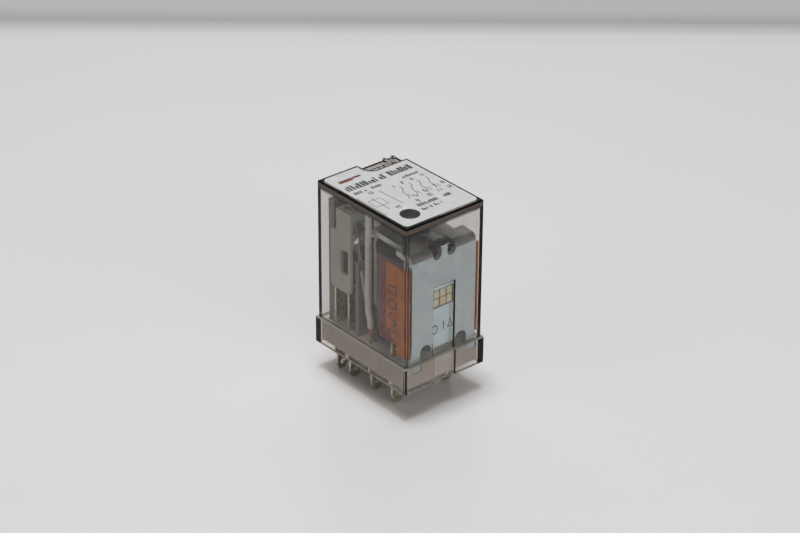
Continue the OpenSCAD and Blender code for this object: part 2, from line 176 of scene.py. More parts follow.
def metal(name, colour, rough, var, brush=None, brush_mm=0.002, grain=2500):
    m, nt, b = new_material(name)
    b.inputs["Metallic"].default_value = 1.0
    cloudy = noise_out(nt, 300, 5, 0.65)
    stops = [(0.28, shade(colour, 1 - var)), (0.5, colour), (0.72, shade(colour, 1 + var))]
    paint(nt, cloudy, stops, b.inputs["Base Color"])
    nt.links.new(span(nt, noise_out(nt, 900, 4, 0.6), rough - 0.07, rough + 0.1), b.inputs["Roughness"])
    vec = stretched(nt, brush) if brush else None
    bump(nt, b, noise_out(nt, grain, 4, 0.6, vec), brush_mm * MM)
    return m


def zinc_plate():
    m, nt, b = new_material("zinc_plate")
    b.inputs["Metallic"].default_value = 0.82
    patchy = noise_out(nt, 260, 6, 0.7)
    dull = [(0.25, (0.55, 0.67, 0.73)), (0.5, (0.66, 0.78, 0.83))]
    bright = [(0.62, (0.72, 0.82, 0.85)), (0.8, (0.78, 0.84, 0.85))]
    paint(nt, patchy, dull + bright, b.inputs["Base Color"])
    nt.links.new(span(nt, noise_out(nt, 700, 5, 0.7), 0.30, 0.52), b.inputs["Roughness"])
    first = bump(nt, b, noise_out(nt, 5200, 3, 0.6), 0.004 * MM)
    bump(nt, b, noise_out(nt, 700, 3, 0.5), 0.02 * MM, 0.6, first)
    return m


def dull_iron():
    m, nt, b = new_material("armature_iron")
    b.inputs["Metallic"].default_value = 1.0
    stops = [(0.25, (0.42, 0.45, 0.43)), (0.5, (0.54, 0.57, 0.55)), (0.8, (0.64, 0.66, 0.63))]
    paint(nt, noise_out(nt, 240, 6, 0.7), stops, b.inputs["Base Color"])
    nt.links.new(span(nt, noise_out(nt, 800, 5, 0.7), 0.27, 0.42), b.inputs["Roughness"])
    bump(nt, b, noise_out(nt, 3000, 4, 0.6), 0.006 * MM)
    return m


def math_node(nt, op, a, b):
    n = nt.nodes.new("ShaderNodeMath")
    n.operation = op
    n.use_clamp = True
    for socket, v in zip(n.inputs, (a, b)):
        if isinstance(v, (int, float)):
            socket.default_value = v
        else:
            nt.links.new(v, socket)
    return n.outputs[0]


def cover_axes(nt):
    sep = nt.nodes.get("Separate XYZ")
    if sep is None:
        sep = nt.nodes.new("ShaderNodeSeparateXYZ")
        nt.links.new(coords(nt), sep.inputs["Vector"])
    return sep.outputs["X"], sep.outputs["Y"], sep.outputs["Z"]


def size_of(nt, socket):
    n = nt.nodes.new("ShaderNodeMath")
    n.operation = "ABSOLUTE"
    nt.links.new(socket, n.inputs[0])
    return n.outputs[0]


def beyond(nt, value, edge, soft=0.08):
    """1 where value is past edge, in mm, fading over soft."""
    return span(nt, value, 0.0, 1.0, (edge - soft) * MM, edge * MM)


def short_of(nt, value, edge, soft=0.08):
    return math_node(nt, "SUBTRACT", 1.0, beyond(nt, value, edge, soft))


def within(nt, value, lo, hi, soft=0.08):
    return math_node(nt, "MULTIPLY", beyond(nt, value, lo, soft), short_of(nt, value, hi + soft, soft))


def either(nt, a, b):
    return math_node(nt, "MAXIMUM", a, b)


def product(nt, *factors):
    out = factors[0]
    for f in factors[1:]:
        out = math_node(nt, "MULTIPLY", out, f)
    return out


def painted_ledge_light(nt):
    """1 on the narrow shelf where the skirt starts, which gets painted light: a grey tone standing in for the
    base seen through it.
    """
    z = cover_axes(nt)[2]
    return within(nt, z, SKIRT_H - 0.1, SKIRT_H + 0.1)


def wall_half():
    """Half the length, half the width and the top of the cover's wall above the skirt, in mm."""
    hi = box_mm("cover")[1]
    return hi[0] - SKIRT_STEP, hi[1] - SKIRT_STEP, hi[2]


def painted_strip_shade(nt):
    """1 on the side of the thick top plate, which gets a painted brown shade for the light bent in that
    plate.
    """
    half_x, half_y, top = wall_half()
    x, y, z = cover_axes(nt)
    side = either(nt, beyond(nt, size_of(nt, x), half_x - 0.05), beyond(nt, size_of(nt, y), half_y - 0.05))
    return product(nt, side, within(nt, z, CEILING + 0.45, top - 0.35))


def corner_edge_shade(nt):
    """Painted shade on the upright corners of the wall, darkest on the far ones, and a patch of painted shade
    high on the near one.
    """
    x, y, z = cover_axes(nt)
    ax, ay = size_of(nt, x), size_of(nt, y)
    half_x, half_y, _ = wall_half()
    above_skirt = beyond(nt, z, SKIRT_H + 0.1)
    past_x = beyond(nt, x, half_x - 0.22)
    far = either(nt, beyond(nt, y, 0.0), short_of(nt, x, 0.0))
    wall = product(nt, beyond(nt, ax, half_x - 0.22), beyond(nt, ay, half_y - 0.22), above_skirt, far)
    band = within(nt, y, -half_y - 0.2, -half_y + 0.8)
    near = product(nt, beyond(nt, x, half_x - 0.05), band, beyond(nt, z, SKIRT_H), 0.8)
    front = product(nt, past_x, short_of(nt, y, 0.22 - half_y), above_skirt, 0.7)
    patch = product(nt, short_of(nt, y, 1.0 - half_y), beyond(nt, x, half_x - 1.1))
    crown = product(nt, patch, within(nt, z, 31.5, CEILING, 0.8), 0.7)
    return front, wall, near, crown


def top_edge_shade(nt):
    """Painted shade on the rim of the top, and a painted dark line under its thick plate."""
    x, y, z = cover_axes(nt)
    ax, ay = size_of(nt, x), size_of(nt, y)
    half_x, half_y, top = wall_half()
    rim = either(nt, beyond(nt, ax, half_x - 0.55), beyond(nt, ay, half_y - 0.55))
    brim = product(nt, rim, beyond(nt, z, top - 0.15))
    skin = either(nt, beyond(nt, ax, half_x - 0.05), beyond(nt, ay, half_y - 0.05))
    under = product(nt, skin, within(nt, z, CEILING - 0.05, CEILING + 0.15), 0.8)
    return brim, under


def recess_edge_shade(nt):
    """Painted shade on the two sides of the channel in the end wall, and on the walls of the corner pocket.
    """
    x, y, z = cover_axes(nt)
    half_x = wall_half()[0]
    sides = within(nt, size_of(nt, y), CHANNEL_HALF - 0.05, CHANNEL_HALF + 0.05)
    stronger = span(nt, y, 0.35, 0.85, -2 * MM, 2 * MM)
    channel = product(nt, sides, beyond(nt, x, half_x - 0.45), short_of(nt, z, CHANNEL_TOP), stronger)
    along_y = product(nt, within(nt, x, POCKET_X - 0.25, POCKET_X + 0.2), beyond(nt, y, POCKET_Y))
    along_x = product(nt, within(nt, y, POCKET_Y - 0.2, POCKET_Y + 0.25), short_of(nt, x, POCKET_X))
    pocket = product(nt, either(nt, along_y, along_x), beyond(nt, z, CEILING + 0.4), 0.9)
    return channel, pocket


def painted_edge_shade(nt):
    """1 where dark lines of painted shade stand for light trapped in the wall."""
    total, *rest = corner_edge_shade(nt) + top_edge_shade(nt) + recess_edge_shade(nt)
    for part in rest:
        total = either(nt, total, part)
    return total


def clear_cover():
    """Slightly brown clear plastic that lets light through to what is inside, with painted shade on its
    edges, a painted brown tone on the top plate's side and a painted grey tone on the skirt's shelf.
    """
    m, nt, b = new_material("clear_cover")
    b.inputs["IOR"].default_value = 1.5
    b.inputs["Specular IOR Level"].default_value = 0.36
    smear = noise_out(nt, 240, 5, 0.6)
    painted_ledge_mask, painted_strip_mask = painted_ledge_light(nt), painted_strip_shade(nt)
    # Painted shade: the edge mask turns the clear colour dark brown along edges, corners and recesses.
    colour = ramp(nt, painted_edge_shade(nt), [(0.0, (0.985, 0.975, 0.97)), (1.0, (0.05, 0.035, 0.028))])
    # Painted shade on the top plate's side and painted light on the skirt's shelf, each as a flat tone.
    for mask, tint in ((painted_strip_mask, (0.30, 0.235, 0.19)), (painted_ledge_mask, (0.38, 0.365, 0.345))):
        mix = nt.nodes.new("ShaderNodeMix")
        mix.data_type = "RGBA"
        nt.links.new(mask, mix.inputs["Factor"])
        nt.links.new(colour, mix.inputs[6])
        nt.links.new(ramp(nt, smear, [(0.3, tint), (0.7, shade(tint, 1.15))]), mix.inputs[7])
        colour = mix.outputs[2]
    nt.links.new(colour, b.inputs["Base Color"])
    # Painted opacity, so that the painted tones of the strip and the shelf show.
    painted_opacity = math_node(nt, "ADD", product(nt, painted_strip_mask, 0.5), product(nt, painted_ledge_mask, 0.85))
    nt.links.new(math_node(nt, "SUBTRACT", 1.0, painted_opacity), b.inputs["Transmission Weight"])
    rough = math_node(nt, "ADD", span(nt, smear, 0.015, 0.05), product(nt, painted_opacity, 0.4))
    nt.links.new(rough, b.inputs["Roughness"])
    bump(nt, b, noise_out(nt, 160, 3, 0.5), 0.012 * MM, 0.5)
    out = nt.nodes["Material Output"]
    thru = nt.nodes.new("ShaderNodeBsdfTransparent")
    thru.inputs["Color"].default_value = (0.92, 0.905, 0.89, 1)
    mix = nt.nodes.new("ShaderNodeMixShader")
    path = nt.nodes.new("ShaderNodeLightPath")
    nt.links.new(path.outputs["Is Shadow Ray"], mix.inputs[0])
    nt.links.new(b.outputs[0], mix.inputs[1])
    nt.links.new(thru.outputs[0], mix.inputs[2])
    nt.links.new(mix.outputs[0], out.inputs["Surface"])
    vol = nt.nodes.new("ShaderNodeVolumeAbsorption")
    vol.inputs["Color"].default_value = (0.60, 0.54, 0.48, 1)
    vol.inputs["Density"].default_value = 440.0
    nt.links.new(vol.outputs[0], out.inputs["Volume"])
    return m


def label_film():
    """White film whose underside is painted dark, as shade."""
    m, nt, b = new_material("label_film")
    lo, hi = box_mm("label")
    sep = nt.nodes.new("ShaderNodeSeparateXYZ")
    nt.links.new(coords(nt), sep.inputs["Vector"])
    face = span(nt, sep.outputs["Z"], 0.0, 1.0, (lo[2] + 0.01) * MM, (lo[2] + 0.06) * MM)
    tint = nt.nodes.new("ShaderNodeMix")
    tint.data_type = "RGBA"
    nt.links.new(face, tint.inputs["Factor"])
    # Painted shade on the underside.
    underside_shade = [(0.3, (0.10, 0.095, 0.088)), (0.7, (0.16, 0.152, 0.14))]
    white = [(0.3, (0.53, 0.54, 0.535)), (0.7, (0.59, 0.60, 0.595))]
    paint(nt, noise_out(nt, 900, 4, 0.6), underside_shade, tint.inputs[6])
    paint(nt, noise_out(nt, 350, 4, 0.6), white, tint.inputs[7])
    nt.links.new(tint.outputs[2], b.inputs["Base Color"])
    nt.links.new(span(nt, noise_out(nt, 1500, 3, 0.5), 0.30, 0.42), b.inputs["Roughness"])
    bump(nt, b, noise_out(nt, 2600, 4, 0.6), 0.006 * MM)
    return m


def ink(name, colour, fade):
    m, nt, b = new_material(name)
    worn = tuple(c + (0.7 - c) * fade for c in colour)
    paint(nt, noise_out(nt, 3800, 4, 0.7), [(0.35, colour), (0.75, worn)], b.inputs["Base Color"])
    nt.links.new(span(nt, noise_out(nt, 900, 3, 0.5), 0.45, 0.65), b.inputs["Roughness"])
    b.inputs["Specular IOR Level"].default_value = 0.12
    return m


def base_plastic():
    """Grey moulding, painted paler on its top face as light falling on it."""
    m = plastic("base_plastic", (0.68, 0.66, 0.62), 0.50, 0.08, 6500, 0.010)
    nt = m.node_tree
    b = nt.nodes["Principled BSDF"]
    sep = nt.nodes.new("ShaderNodeSeparateXYZ")
    nt.links.new(coords(nt), sep.inputs["Vector"])
    old = b.inputs["Base Color"].links[0].from_socket
    tint = nt.nodes.new("ShaderNodeMix")
    tint.data_type = "RGBA"
    nt.links.new(beyond(nt, sep.outputs["Z"], BASE_TOP - 0.02, 0.1), tint.inputs["Factor"])
    nt.links.new(old, tint.inputs[6])
    # Painted light on the top face.
    lit_top_paint = [(0.3, (0.76, 0.74, 0.70)), (0.7, (0.84, 0.82, 0.78))]
    paint(nt, noise_out(nt, 700, 4, 0.6), lit_top_paint, tint.inputs[7])
    nt.links.new(tint.outputs[2], b.inputs["Base Color"])
    return m


def enamel_wire():
    m, nt, b = new_material("enamel_wire")
    streaks = noise_out(nt, 500, 4, 0.6, stretched(nt, (1, 1, 9)))
    paint(nt, streaks, [(0.3, (0.16, 0.020, 0.012)), (0.7, (0.34, 0.060, 0.035))], b.inputs["Base Color"])
    b.inputs["Metallic"].default_value = 0.35
    nt.links.new(span(nt, noise_out(nt, 2500, 2, 0.5), 0.22, 0.36), b.inputs["Roughness"])
    b.inputs["Coat Weight"].default_value = 0.4
    return m


def tape():
    m, nt, b = new_material("tape_film")
    cloudy = noise_out(nt, 300, 5, 0.6)
    stops = [(0.25, (0.42, 0.110, 0.004)), (0.55, (0.55, 0.158, 0.007)), (0.8, (0.64, 0.200, 0.012))]
    paint(nt, cloudy, stops, b.inputs["Base Color"])
    nt.links.new(span(nt, noise_out(nt, 800, 4, 0.6), 0.22, 0.38), b.inputs["Roughness"])
    b.inputs["Specular IOR Level"].default_value = 0.25
    bump(nt, b, noise_out(nt, 500, 4, 0.55), 0.03 * MM)
    return m


def sleeving():
    m, nt, b = new_material("woven_sleeving")
    wave = nt.nodes.new("ShaderNodeTexWave")
    wave.wave_type = "BANDS"
    wave.bands_direction = "DIAGONAL"
    wave.inputs["Scale"].default_value = 1500
    wave.inputs["Distortion"].default_value = 1.2
    nt.links.new(coords(nt), wave.inputs["Vector"])
    pale = [(0.3, (0.70, 0.73, 0.71)), (0.7, (0.84, 0.86, 0.84))]
    paint(nt, noise_out(nt, 900, 4, 0.6), pale, b.inputs["Base Color"])
    nt.links.new(span(nt, noise_out(nt, 2500, 3, 0.5), 0.38, 0.55), b.inputs["Roughness"])
    bump(nt, b, wave.outputs["Fac"], 0.02 * MM, 0.7)
    b.inputs["Subsurface Weight"].default_value = 0.15
    b.inputs["Subsurface Scale"].default_value = 0.0005
    return m


M = {
    "clear_cover": clear_cover(),
    "label": label_film(),
    "base_plastic": base_plastic(),
    "block_plastic": plastic("block_plastic", (0.29, 0.27, 0.235), 0.52, 0.10, 6500, 0.010),
    "tinned_brass": metal("tinned_brass", (0.66, 0.62, 0.52), 0.24, 0.14, (3, 3, 0.5), 0.003),
    "silver_alloy": metal("silver_alloy", (0.86, 0.86, 0.85), 0.2, 0.05),
    "spring_bronze": metal("spring_bronze", (0.66, 0.40, 0.20), 0.27, 0.1, (4, 4, 0.4), 0.002),
    "copper": metal("bare_copper", (0.84, 0.48, 0.27), 0.36, 0.16),
    "lead_sleeving": sleeving(),
    "carrier_plastic": plastic("carrier_plastic", (0.52, 0.56, 0.50), 0.5, 0.07, 6000, 0.008, sss=0.1),
    "rivet_steel": metal("rivet_steel", (0.92, 0.93, 0.94), 0.26, 0.06),
    "zinc_steel": zinc_plate(),
    "armature_iron": dull_iron(),
    "spring_steel": metal("spring_steel", (0.70, 0.71, 0.72), 0.2, 0.06, (0.5, 5, 5), 0.002),
    "bobbin_plastic": plastic("bobbin_plastic", (0.045, 0.040, 0.038), 0.34, 0.12, 5000, 0.006),
    "wire_enamel": enamel_wire(),
    "coil_tape": tape(),
    "cream_plastic": plastic("cream_plastic", (0.72, 0.66, 0.50), 0.42, 0.07, 5200, 0.006, sss=0.1),
    "ink_dark": ink("ink_dark", (0.065, 0.065, 0.068), 0.22),
    "ink_red": ink("ink_red", (0.17, 0.085, 0.060), 0.12),
    "ink_brown": ink("ink_brown", (0.20, 0.07, 0.03), 0.05),
    "stamp_grey": ink("stamp_grey", (0.075, 0.082, 0.085), 0.1),
}

# ---------------------------------------------------------------- mesh helpers

def make(name, verts, faces, mat, body, smooth=True, replaces=()):
    """A piece from points in millimetres."""
    me = bpy.data.meshes.new(name)
    points = [tuple(float(c) * MM for c in v) for v in verts]
    me.from_pydata(points, [], [tuple(int(i) for i in f) for f in faces])
    me.validate()
    bm = bmesh.new()
    bm.from_mesh(me)
    bmesh.ops.remove_doubles(bm, verts=bm.verts, dist=1e-8)
    bmesh.ops.recalc_face_normals(bm, faces=bm.faces)
    bm.to_mesh(me)
    bm.free()
    me.polygons.foreach_set("use_smooth", [smooth] * len(me.polygons))
    o = bpy.data.objects.new(name, me)
    bpy.context.scene.collection.objects.link(o)
    me.materials.append(M[mat])
    if body:
        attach(o, body)
    if replaces:
        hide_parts(*replaces)
    return o


def soften(o, width=0.08, segments=2, angle=35):
    b = o.modifiers.new("bevel", "BEVEL")
    b.width = width * MM
    b.segments = segments
    b.limit_method = "ANGLE"
    b.angle_limit = math.radians(angle)
    b.use_clamp_overlap = True
    b.harden_normals = False
    o.data.polygons.foreach_set("use_smooth", [True] * len(o.data.polygons))
    w = o.modifiers.new("normals", "WEIGHTED_NORMAL")
    w.keep_sharp = True
    return o


class Soup:
    """Collects shells into one mesh."""

    def __init__(self):
        self.v, self.f = [], []

    def add(self, verts, faces):
        n = len(self.v)
        self.v += [tuple(p) for p in verts]
        self.f += [tuple(i + n for i in f) for f in faces]

    def prism(self, outline, at, lo, hi):
        """outline is 2D points; at maps (a, b, c) with c from lo to hi to a 3D point."""
        n = len(outline)
        self.add(
            [at(a, b, lo) for a, b in outline] + [at(a, b, hi) for a, b in outline],
            [tuple(range(n))[::-1], tuple(range(n, 2 * n))]
            + [(i, (i + 1) % n, n + (i + 1) % n, n + i) for i in range(n)],
        )

    def ribbon(self, pts, width, at, lo, hi, closed=False):
        """A flat stroke along 2D points."""
        p = [np.array(q, float) for q in pts]
        n = len(p)
        left, right = [], []
        for i in range(n):
            a = p[(i - 1) % n] if closed or i else p[0]
            b = p[(i + 1) % n] if closed or i < n - 1 else p[-1]
            d = b - a
            d /= max(np.linalg.norm(d), 1e-9)
            s = np.array([-d[1], d[0]]) * width / 2
            left.append(p[i] + s)
            right.append(p[i] - s)
        verts = [at(*q, lo) for q in left + right] + [at(*q, hi) for q in left + right]
        faces = []
        m = n if closed else n - 1
        for i in range(m):
            j = (i + 1) % n
            a, b, c, d = i, j, n + j, n + i
            e = 2 * n
            faces += [(a, b, c, d), (e + d, e + c, e + b, e + a), (a, e + a, e + b, b), (c, e + c, e + d, d)]
        if not closed:
            e = 2 * n
            faces += [(0, n, e + n, e), (n - 1, e + n - 1, e + 2 * n - 1, 2 * n - 1)]
        self.add(verts, faces)

    def tube(self, path, radius, sides=12, caps=True, twist=0.0):
        p = [np.array(q, float) for q in path]
        p = [q for i, q in enumerate(p) if i == 0 or np.linalg.norm(q - p[i - 1]) > 1e-6]
        n = len(p)
        t = [p[min(i + 1, n - 1)] - p[max(i - 1, 0)] for i in range(n)]
        t = [x / np.linalg.norm(x) for x in t]
        up = np.array([0.0, 1.0, 0.0])
        if abs(t[0] @ up) > 0.9:
            up = np.array([1.0, 0.0, 0.0])
        u = up - t[0] * (up @ t[0])
        u /= np.linalg.norm(u)
        verts, faces = [], []
        for i in range(n):
            u = u - t[i] * (u @ t[i])
            u /= np.linalg.norm(u)
            w = np.cross(t[i], u)
            r = radius(i / (n - 1)) if callable(radius) else radius
            for k in range(sides):
                a = 2 * math.pi * k / sides + twist * i
                verts.append(p[i] + r * (math.cos(a) * u + math.sin(a) * w))
        for i in range(n - 1):
            for k in range(sides):
                a, b = i * sides + k, i * sides + (k + 1) % sides
                faces.append((a, b, b + sides, a + sides))
        if caps:
            faces.append(tuple(range(sides))[::-1])
            faces.append(tuple(range((n - 1) * sides, n * sides)))
        self.add(verts, faces)

    def make(self, name, mat, body, **kw):
        return make(name, self.v, self.f, mat, body, **kw)


def smooth_path(pts, step=0.25):
    """A rounded curve through points, by Catmull-Rom, sampled about every step mm."""
    p = [np.array(q, float) for q in pts]
    p = [2 * p[0] - p[1]] + p + [2 * p[-1] - p[-2]]
    out = []
    for i in range(1, len(p) - 2):
        a, b, c, d = p[i - 1 : i + 3]
        n = max(2, int(np.linalg.norm(c - b) / step))
        for k in range(n):
            t = k / n
            square, cube = 2 * a - 5 * b + 4 * c - d, 3 * b - a - 3 * c + d
            out.append(0.5 * (2 * b + (c - a) * t + square * t**2 + cube * t**3))
    out.append(p[-2])
    return out


# ---------------------------------------------------------------- CAD nodes that stay

SLOT_OF = {s["node"]: s["material_slot"] for s in frame["record"]["subparts"]}
for name, o in NODES.items():
    mat = M[{"contact_block": "block_plastic", "armature": "armature_iron"}.get(name, SLOT_OF[name])]
    o.data.materials.clear()
    o.data.materials.append(mat)

EDGE_WIDTH = {
    "base": 0.12, "contact_block": 0.12, "carrier": 0.12, "yoke": 0.14, "armature": 0.14, "bobbin": 0.12,
    "coil_retainer": 0.12, "core": 0.1, "shading_ring": 0.06, "cover": 0.12, "label": 0.02,
}
for name, width in EDGE_WIDTH.items():
    soften(NODES[name], width, 3 if name in ("yoke", "armature", "cover") else 2)
for name, o in NODES.items():
    if name.endswith(("terminal_1", "terminal_2", "terminal_3", "terminal_4")):
        soften(o, 0.06, 2)
    if name.startswith("moving_spring"):
        soften(o, 0.03, 1)
    if "_contact_" in name:
        soften(o, 0.16, 3)

# ---------------------------------------------------------------- label print

_, label_hi = box_mm("label")
PRINT_Z = label_hi[2]


def on_label(x, y):
    """Text runs along +Y with its top towards -X."""
    return lambda a, b, c: (x - b, y + a, PRINT_Z + c)


# bottom and top of the print above the label, in mm
INK = (0.004, 0.022)
SEGMENTS = {
    "a": ((0, 1), (1, 1)), "b": ((1, 1), (1, 0.5)), "c": ((1, 0.5), (1, 0)), "d": ((0, 0), (1, 0)),
    "e": ((0, 0.5), (0, 0)), "f": ((0, 1), (0, 0.5)), "g": ((0, 0.5), (1, 0.5)),
}
DIGITS = {
    "0": "abcdef", "1": "bc", "2": "abged", "3": "abgcd", "4": "fgbc",
    "5": "afgcd", "6": "afgedc", "7": "abc", "8": "abcdefg", "9": "abcdfg",
}


def number(soup, text, at, w=0.5, h=0.95, pen=0.17):
    for k, ch in enumerate(text):
        for seg in DIGITS[ch]:
            (x0, y0), (x1, y1) = SEGMENTS[seg]
            soup.ribbon([(k * (w + 0.28) + x0 * w, y0 * h), (k * (w + 0.28) + x1 * w, y1 * h)], pen, at, *INK)


def dashes(soup, at, length, height, pen_lo, pen_hi, gap, seed):
    """A line of upright bars of varied width, a neutral stand-in for a printed line."""
    r = random.Random(seed)
    x = 0.0
    while x < length:
        w = r.uniform(pen_lo, pen_hi)
        if r.random() < 0.86:
            hgt = height * r.choice((1, 1, 0.78, 0.6))
            soup.prism([(x, 0), (min(x + w, length), 0), (min(x + w, length), hgt), (x, hgt)], at, *INK)
        x += w + gap * r.uniform(0.7, 1.5)


dark = Soup()
dashes(dark, on_label(-5.5, -8.5), 16.8, 2.0, 0.30, 0.80, 0.17, 3)
dashes(dark, on_label(-3.55, -8.3), 6.6, 1.0, 0.22, 0.50, 0.15, 5)
dashes(dark, on_label(-3.2, 3.6), 4.4, 1.0, 0.22, 0.50, 0.15, 6)
dashes(dark, on_label(8.0, -2.2), 9.4, 1.05, 0.24, 0.55, 0.14, 8)
dashes(dark, on_label(9.7, -2.1), 5.0, 1.0, 0.24, 0.50, 0.15, 9)
BLADE_NUMBERS = {
    "13": (-2.0, -6.4), "1": (-1.2, -0.7), "2": (-1.5, 1.9), "3": (-1.5, 4.3), "4": (-1.5, 7.1),
    "14": (5.9, -5.9), "9": (6.3, -0.6), "10": (5.9, 2.2), "11": (5.7, 5.0), "12": (5.7, 7.6),
    "5": (4.4, 0.4), "6": (4.0, 3.2), "7": (3.6, 5.9), "8": (3.4, 8.3),
}
for text, place in BLADE_NUMBERS.items():
    number(dark, text, on_label(*place))
line = Soup()
flat = on_label(0, 0)
for pts in ([(-9.2, 2.2), (-9.0, -6.8)], [(-6.9, 0.6), (-6.9, -5.0)], [(-3.7, 2.2), (-3.3, -4.8)],
            [(-8.4, -0.2), (-5.4, -0.2), (-5.4, -3.0), (-8.4, -3.0), (-8.4, -0.2)]):
    line.ribbon(pts, 0.13, flat, *INK)
for y0, y1 in ((0.6, -1.0), (3.0, 1.2), (5.0, 3.9), (7.3, 6.2)):
    wave = []
    for t in np.linspace(0, 1, 26):
        wave.append((y0 + (y1 - y0) * t + 0.38 * math.sin(9.5 * t) * (1 - t), 0.9 - 5.0 * t))
    line.ribbon(wave, 0.15, flat, *INK)
    line.ribbon([(y1 + 0.9, -2.6), (y1 + 0.9, -4.1)], 0.13, flat, *INK)
# A dark band of painted shade on the label along its notch, for the dark edge of the corner pocket.
rim = Soup()
NOTCH_R = 2.34
turn = [math.radians(9 * k) for k in range(11)]
bend = [(2.1 - NOTCH_R * math.sin(t), 11.6 - NOTCH_R * math.cos(t)) for t in turn]
rim.ribbon([(9.2, 9.26)] + bend + [(-0.24, 12.75)], 0.44, flat, *INK)
rim.make("label_notch_shade", "ink_dark", "cover", smooth=False)
dark.make("label_print", "ink_dark", "cover", smooth=False)
line.make("label_diagram", "ink_dark", "cover", smooth=False)
bar = Soup()
bar.prism([(-7.7, 9.1), (-4.4, 9.1), (-4.4, 10.1), (-7.7, 10.1)], flat, *INK)
bar.prism([(-4.3, 9.45), (-2.2, 9.45), (-2.2, 10.1), (-4.3, 10.1)], flat, *INK)
bar.make("label_bar", "ink_red", "cover", smooth=False)

# ---------------------------------------------------------------- winding, with its turns

low, high = box_mm("winding")
ROUND_R = 6.05
COIL_MID = np.array([4.9, 0.0])
# X plus Z, in mm, of the slanted cut at the foot of the winding
FOOT_CUT = 12.4


def coil_outline(n=30):
    """The winding's plan: round towards -X, square with small corners towards +X."""
    half, right, mid = high[1], high[0], low[0] + ROUND_R
    pts = []
    for k in range(n + 1):
        t = math.radians(90 + 90 * k / n)
        pts.append((mid + ROUND_R * math.cos(t), half - ROUND_R + ROUND_R * math.sin(t)))
    for k in range(1, 6):
        pts.append((low[0], (half - ROUND_R) * (1 - 2 * k / 6)))
    for k in range(n + 1):
        t = math.radians(180 + 90 * k / n)
        pts.append((mid + ROUND_R * math.cos(t), -(half - ROUND_R) + ROUND_R * math.sin(t)))
    for k in range(1, 8):
        pts.append((mid + (right - 1 - mid) * k / 8, -half))
    for c, a0 in ((-(half - 1), 270), (half - 1, 0)):
        for k in range(7):
            t = math.radians(a0 + 15 * k)
            pts.append((right - 1 + math.cos(t), c + math.sin(t)))
    for k in range(1, 8):
        pts.append((right - 1 - (right - 1 - mid) * k / 8, half))
    return np.array(pts)


def winding_turns():
    """Layers of fine wire, each turn a shallow groove in the surface."""
    plan = coil_outline()
    d = plan - COIL_MID
    d /= np.linalg.norm(d, axis=1)[:, None]
    pitch, per = 0.24, 6
    steps = int((high[2] - low[2]) / pitch * per)
    verts, faces, m = [], [], len(plan)
    for j in range(steps + 1):
        z = low[2] + (high[2] - low[2]) * j / steps
        turn = (z - low[2]) / pitch
        ripple = -0.05 * abs(math.cos(math.pi * turn)) ** 2
        for k, p in enumerate(plan):
            slow = 0.03 * noise.noise(Vector((k * 0.12, int(turn) * 0.7, 3.1)))
            q = p + d[k] * (ripple + slow - 0.03)
            verts.append((max(q[0], FOOT_CUT - z), q[1], z))
    for j in range(steps):
        for k in range(m):
            a, b = j * m + k, j * m + (k + 1) % m
            faces.append((a, b, b + m, a + m))
    faces.append(tuple(range(m))[::-1])
    faces.append(tuple(range(steps * m, (steps + 1) * m)))
    return make("winding_turns", verts, faces, "wire_enamel", "frame", replaces=("winding",))


winding_turns()

# ---------------------------------------------------------------- leads

SLEEVE_R = 0.72


def lay(start, steps, step_mm=0.22):
    """The centre line of a lead: straight lengths and bends, each (length, angle, radius, roll)."""
    p = np.array(start, float)
    x, y, z = np.eye(3)
    pts = [p.copy()]

    def straight(length):
        nonlocal p
        n = max(1, int(length / step_mm))
        for k in range(1, n + 1):
            pts.append(p + z * length * k / n)
        p = p + z * length

    for s in steps:
        if s[0] > 0:
            straight(s[0])
        if len(s) == 1:
            break
        roll = math.radians(s[3])
        x, y = x * math.cos(roll) + y * math.sin(roll), y * math.cos(roll) - x * math.sin(roll)
        angle, r = math.radians(s[1]), s[2]
        n = max(3, int(angle * r / step_mm))
        for k in range(1, n + 1):
            t = angle * k / n
            pts.append(p + x * r * (1 - math.cos(t)) + z * r * math.sin(t))
        p = pts[-1].copy()
        z, x = z * math.cos(angle) + x * math.sin(angle), x * math.cos(angle) - z * math.sin(angle)
    return pts


def lead_line(i, top_len, end_len):
    lo_s, hi_s = box_mm(f"lead_sleeve_{i}")
    side = 1 if i > 2.5 else -1
    outer = i in (1, 4)
    top_z = hi_s[2] - SLEEVE_R
    start_x, end_x = lo_s[0] + SLEEVE_R, hi_s[0] - SLEEVE_R
    top_y, drop_y, end_y = (6.7, 7.2, 7.2) if outer else (2.3, 4.3, 3.0)
    drop_x = -0.7 if outer else -1.4
    a, r, bow = (22, 4.0, 12.5) if outer else (35, 3.0, 13.4)
    over = (drop_x - start_x, drop_y - top_y)
    across = (end_x - drop_x, end_y - drop_y)
    turn_over = math.degrees(math.atan2(over[1], over[0]))
    turn_across = math.degrees(math.atan2(across[1], across[0]))
    slant = (math.hypot(*across) - 2 * r * (1 - math.cos(math.radians(a)))) / math.sin(math.radians(a))
    arch = 1.3
    pts = lay((start_x, top_y, top_z - arch - top_len), [
        (top_len, 90, arch, turn_over), (math.hypot(*over) - 2 * arch, 90, arch, 0),
        (top_z - arch - bow, a, r, 180 + turn_over - turn_across), (slant, a, r, 180), (end_len,)])
    return [np.array([q[0], side * q[1], q[2]]) for q in pts]


def frames(path):
    n = len(path)
    t = [path[min(i + 1, n - 1)] - path[max(i - 1, 0)] for i in range(n)]
    t = [v / np.linalg.norm(v) for v in t]
    u = np.array([0.0, 1.0, 0.0]) - t[0] * t[0][1]
    u /= np.linalg.norm(u)
    out = []
    for i in range(n):
        u = u - t[i] * (u @ t[i])
        u /= np.linalg.norm(u)
        out.append((u.copy(), np.cross(t[i], u)))
    return out


def smoothstep(t):
    t = min(1.0, max(0.0, t))
    return t * t * (3 - 2 * t)


